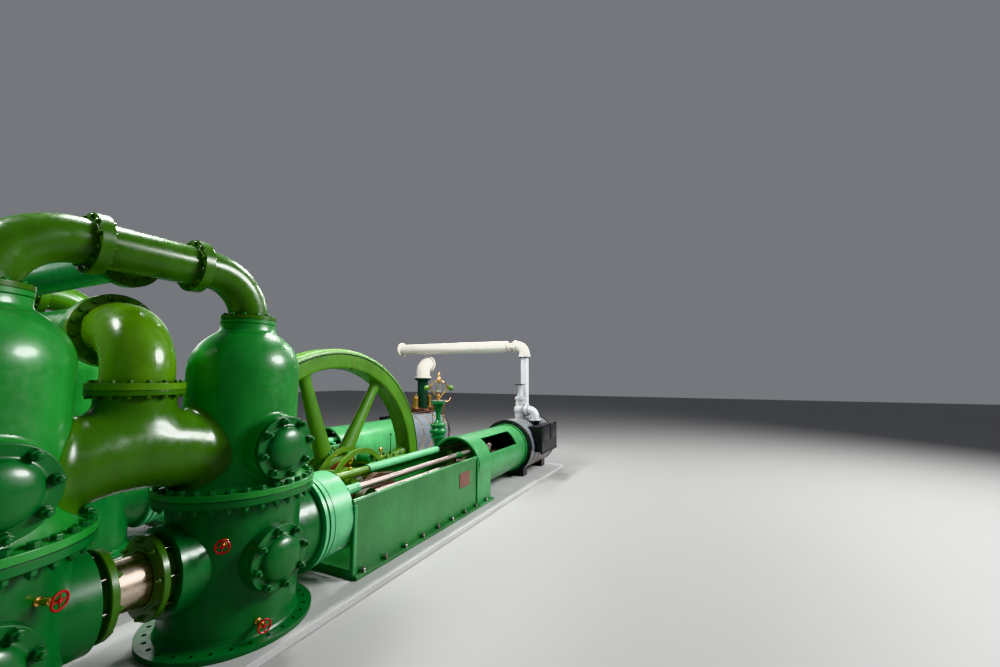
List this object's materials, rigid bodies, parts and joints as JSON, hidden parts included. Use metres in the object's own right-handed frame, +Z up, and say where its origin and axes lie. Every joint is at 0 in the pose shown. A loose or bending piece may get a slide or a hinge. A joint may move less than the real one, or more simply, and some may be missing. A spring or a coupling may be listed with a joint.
{
  "type": "stationary steam pumping engine",
  "caption": "Horizontal two-line steam pumping engine with air domes, spoked flywheel, guide barrels, ball governor and lagged steam cylinders.",
  "frame": {"origin": "middle of the two foundation blocks, on the wheel pit's floor that they stand on", "axes": "+X along the engine lines from the pumps towards the steam cylinders, +Y from the near line to the far line, +Z up"},
  "size_m": [13.55, 6.02, 6.182],
  "materials": {
    "concrete": "painted smooth",
    "chamber_green": "gloss enamel",
    "dome_green": "gloss enamel",
    "cover_green": "gloss enamel",
    "gland_green": "gloss enamel",
    "pipe_green": "gloss enamel",
    "frame_green": "gloss enamel",
    "cylinder_iron": "black paint",
    "lagging_grey": "planished sheet",
    "chest_iron": "black paint",
    "plunger_steel": "polished",
    "rod_steel": "bright",
    "crank_brown": "worn primer",
    "bearing_green": "gloss enamel",
    "shaft_steel": "bright",
    "wheel_green": "gloss enamel",
    "mint_green": "gloss enamel",
    "riser_white": "painted lagging",
    "lagging_white": "painted lagging",
    "riser_green": "gloss enamel",
    "valve_grey": "paint",
    "wheel_black": "gloss black",
    "governor_green": "gloss enamel",
    "governor_brass": "polished"
  },
  "bodies": {
    "engine": {"near_foundation": "concrete", "far_foundation": "concrete", "near_lower_chambers": "chamber_green", "far_lower_chambers": "chamber_green", "near_air_domes": "dome_green", "far_air_domes": "dome_green", "near_manhole_covers": "cover_green", "far_manhole_covers": "cover_green", "near_plunger_glands": "gland_green", "far_plunger_glands": "gland_green", "near_arch_pipe": "pipe_green", "far_arch_pipe": "pipe_green", "near_breeches_pipe": "pipe_green", "far_breeches_pipe": "pipe_green", "near_discharge_elbow": "pipe_green", "far_discharge_elbow": "pipe_green", "near_distance_piece": "frame_green", "far_distance_piece": "frame_green", "near_main_frame": "frame_green", "far_main_frame": "frame_green", "near_guide_barrel": "frame_green", "far_guide_barrel": "frame_green", "near_steam_cylinder": "cylinder_iron", "far_steam_cylinder": "cylinder_iron", "near_cylinder_lagging": "lagging_grey", "far_cylinder_lagging": "lagging_grey", "near_valve_chest": "chest_iron", "far_valve_chest": "chest_iron", "main_bearings": "bearing_green", "arch_cross_pipe": "mint_green", "discharge_cross_pipe": "dome_green", "steam_riser": "riser_white", "steam_elbow": "lagging_white", "steam_pipe": "lagging_white", "far_steam_riser": "riser_green", "far_riser_elbow": "lagging_white", "stop_valve": "valve_grey", "stop_valve_outlet": "valve_grey", "governor_stand": "governor_green"},
    "rotor": {"flywheel": "wheel_green", "crankshaft": "shaft_steel", "near_crank_web": "crank_brown", "far_crank_web": "crank_brown"},
    "near_train": {"near_plunger": "plunger_steel", "near_side_rods": "rod_steel", "near_crosshead": "rod_steel"},
    "far_train": {"far_plunger": "plunger_steel", "far_side_rods": "rod_steel", "far_crosshead": "rod_steel"},
    "near_rod": {"near_connecting_rod": "rod_steel"},
    "far_rod": {"far_connecting_rod": "rod_steel"},
    "governor_head": {"governor_spinner": "governor_brass"},
    "valve_hand_wheel": {"stop_valve_wheel": "wheel_black"}
  },
  "joints": [
    {"name": "shaft_spin", "type": "hinge", "parent": "engine", "child": "rotor", "pos_m": [-0.905, -0.75, 2.63], "axis": [0, 1, 0], "continuous": true},
    {"name": "near_stroke", "type": "slide", "parent": "engine", "child": "near_train", "axis": [1, 0, 0], "range_m": [0, 0.9]},
    {"name": "near_rod_swing", "type": "hinge", "parent": "near_train", "child": "near_rod", "pos_m": [1.845, -2.03, 2.63], "axis": [0, 1, 0], "range_deg": [-8.08, 8.08]},
    {"name": "far_stroke", "type": "slide", "parent": "engine", "child": "far_train", "axis": [1, 0, 0], "range_m": [-0.4182, 0.4818]},
    {"name": "far_rod_swing", "type": "hinge", "parent": "far_train", "child": "far_rod", "pos_m": [2.2632, 2.03, 2.63], "axis": [0, 1, 0], "range_deg": [-16.17, 0]},
    {"name": "governor_spin", "type": "hinge", "parent": "engine", "child": "governor_head", "pos_m": [2.365, -1, 4.036], "axis": [0, 0, 1], "continuous": true},
    {"name": "stop_valve_turn", "type": "hinge", "parent": "engine", "child": "valve_hand_wheel", "pos_m": [5.435, -2.03, 4.39], "axis": [0, 0, 1], "range_deg": [0, 1080]}
  ],
  "couplings": [
    {"joint": "governor_spin", "follows": "shaft_spin", "ratio": 3}
  ]
}
